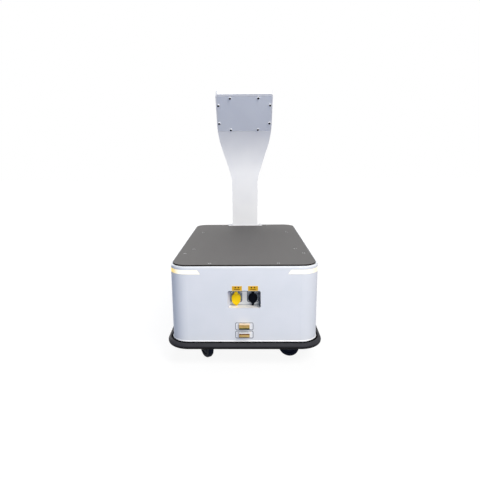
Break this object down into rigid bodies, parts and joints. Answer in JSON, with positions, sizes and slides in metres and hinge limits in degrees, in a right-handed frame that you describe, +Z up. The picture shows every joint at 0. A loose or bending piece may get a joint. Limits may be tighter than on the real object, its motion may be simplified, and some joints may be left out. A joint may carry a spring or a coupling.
{
  "type": "autonomous mobile robot",
  "caption": "Compact wheeled transport robot with a flat load deck, wrap-round bumper, swivel casters and a leaning display mast.",
  "frame": {"origin": "on the floor under the centre of the bumper", "axes": "+Z up; +Y the way the robot drives, so the charging contacts and sockets face -Y; +X to its right"},
  "size_m": [0.484, 0.764, 0.8974],
  "materials": {
    "aluminium": "anodised",
    "black_plastic": "fine texture",
    "brass": "milled",
    "deck_paint": "fine textured powder coat",
    "frame_paint": "matt powder coat",
    "glass": "black printed glass",
    "light_diffuser": "frosted diffuser",
    "orange_label": "printed film",
    "red_plastic": "smooth moulded",
    "rubber": "matt moulded",
    "spring_steel": "oiled",
    "steel": "zinc plated",
    "tyre_rubber": "matt moulded tread",
    "white_paint": "satin powder coat",
    "white_plastic": "smooth moulded",
    "yellow_plastic": "smooth moulded"
  },
  "bodies": {
    "chassis": {"chassis_plate": "frame_paint", "bumper_frame": "frame_paint", "bumper": "rubber", "body_shell": "white_paint", "deck_plate": "deck_paint", "deck_screws": "steel", "deck_rails": "frame_paint", "frame_posts": "frame_paint", "suspension_brackets": "frame_paint", "arm_pins": "steel", "caster_plates": "steel", "light_bars_rear": "light_diffuser", "light_bars_front": "light_diffuser", "socket_recess": "white_paint", "socket_labels": "orange_label", "socket_left": "steel", "socket_right": "steel", "lid_pins": "steel", "contact_holders": "white_plastic", "charge_contacts": "brass", "mast_shell": "white_paint", "mast_cover": "white_paint", "mast_foot": "white_paint", "mast_screws": "steel", "head_plate": "white_paint", "head_plate_screws": "steel", "display_unit": "white_paint", "display_glass": "glass", "scanner": "black_plastic", "scanner_window": "glass", "button_bezels": "yellow_plastic", "battery": "black_plastic", "controller": "aluminium", "motor_driver": "black_plastic", "suspension_spring_left": "spring_steel", "suspension_spring_right": "spring_steel"},
    "lid_left": {"socket_lid_left": "yellow_plastic"},
    "lid_right": {"socket_lid_right": "black_plastic"},
    "stop_button": {"stop_button": "red_plastic"},
    "power_button": {"power_button": "black_plastic"},
    "arm_left": {"swing_arm_left": "frame_paint", "motor_axle_left": "steel"},
    "wheel_left": {"hub_motor_left": "aluminium", "drive_tyre_left": "tyre_rubber"},
    "arm_right": {"swing_arm_right": "frame_paint", "motor_axle_right": "steel"},
    "wheel_right": {"hub_motor_right": "aluminium", "drive_tyre_right": "tyre_rubber"},
    "caster_rear_left": {"caster_fork_rear_left": "black_plastic", "caster_axle_rear_left": "steel"},
    "caster_roller_rear_left": {"caster_wheel_rear_left": "black_plastic"},
    "caster_rear_right": {"caster_fork_rear_right": "black_plastic", "caster_axle_rear_right": "steel"},
    "caster_roller_rear_right": {"caster_wheel_rear_right": "black_plastic"},
    "caster_front_left": {"caster_fork_front_left": "black_plastic", "caster_axle_front_left": "steel"},
    "caster_roller_front_left": {"caster_wheel_front_left": "black_plastic"},
    "caster_front_right": {"caster_fork_front_right": "black_plastic", "caster_axle_front_right": "steel"},
    "caster_roller_front_right": {"caster_wheel_front_right": "black_plastic"}
  },
  "joints": [
    {"name": "lid_left_hinge", "type": "hinge", "parent": "chassis", "child": "lid_left", "pos_m": [-0.0245, -0.34025, 0.2315], "axis": [-1, 0, 0], "range_deg": [0, 95], "stiffness_Nm_per_rad": 0.02, "springref_deg": -34.38},
    {"name": "lid_right_hinge", "type": "hinge", "parent": "chassis", "child": "lid_right", "pos_m": [0.0265, -0.34025, 0.2315], "axis": [-1, 0, 0], "range_deg": [0, 95], "stiffness_Nm_per_rad": 0.02, "springref_deg": -34.38},
    {"name": "stop_press", "type": "slide", "parent": "chassis", "child": "stop_button", "axis": [0, -1, 0], "range_m": [0, 0.004]},
    {"name": "power_press", "type": "slide", "parent": "chassis", "child": "power_button", "axis": [0, -1, 0], "range_m": [0, 0.002], "stiffness_N_per_m": 1500, "springref_m": -0.0015},
    {"name": "arm_left_swing", "type": "hinge", "parent": "chassis", "child": "arm_left", "pos_m": [-0.136, -0.115, 0.125], "axis": [1, 0, 0], "range_deg": [-3.5, 3.5], "stiffness_Nm_per_rad": 60, "springref_deg": -5.73, "deforming": ["suspension_spring_left"]},
    {"name": "wheel_left_spin", "type": "hinge", "parent": "arm_left", "child": "wheel_left", "pos_m": [-0.17, 0, 0.075], "axis": [1, 0, 0], "continuous": true},
    {"name": "arm_right_swing", "type": "hinge", "parent": "chassis", "child": "arm_right", "pos_m": [0.136, -0.115, 0.125], "axis": [1, 0, 0], "range_deg": [-3.5, 3.5], "stiffness_Nm_per_rad": 60, "springref_deg": -5.73, "deforming": ["suspension_spring_right"]},
    {"name": "wheel_right_spin", "type": "hinge", "parent": "arm_right", "child": "wheel_right", "pos_m": [0.17, 0, 0.075], "axis": [1, 0, 0], "continuous": true},
    {"name": "caster_rear_left_swivel", "type": "hinge", "parent": "chassis", "child": "caster_rear_left", "pos_m": [-0.13, -0.291, 0.0735], "axis": [0, 0, 1], "continuous": true},
    {"name": "caster_rear_left_roll", "type": "hinge", "parent": "caster_rear_left", "child": "caster_roller_rear_left", "pos_m": [-0.12237, -0.30274, 0.0325], "axis": [0.8387, 0.5446, 0], "continuous": true},
    {"name": "caster_rear_right_swivel", "type": "hinge", "parent": "chassis", "child": "caster_rear_right", "pos_m": [0.13, -0.291, 0.0735], "axis": [0, 0, 1], "continuous": true},
    {"name": "caster_rear_right_roll", "type": "hinge", "parent": "caster_rear_right", "child": "caster_roller_rear_right", "pos_m": [0.14352, -0.29462, 0.0325], "axis": [0.2588, 0.9659, 0], "continuous": true},
    {"name": "caster_front_left_swivel", "type": "hinge", "parent": "chassis", "child": "caster_front_left", "pos_m": [-0.13, 0.291, 0.0735], "axis": [0, 0, 1], "continuous": true},
    {"name": "caster_front_left_roll", "type": "hinge", "parent": "caster_front_left", "child": "caster_roller_front_left", "pos_m": [-0.11928, 0.282, 0.0325], "axis": [0.6428, 0.766, 0], "continuous": true},
    {"name": "caster_front_right_swivel", "type": "hinge", "parent": "chassis", "child": "caster_front_right", "pos_m": [0.13, 0.291, 0.0735], "axis": [0, 0, 1], "continuous": true},
    {"name": "caster_front_right_roll", "type": "hinge", "parent": "caster_front_right", "child": "caster_roller_front_right", "pos_m": [0.14316, 0.28621, 0.0325], "axis": [0.342, 0.9397, 0], "continuous": true}
  ]
}
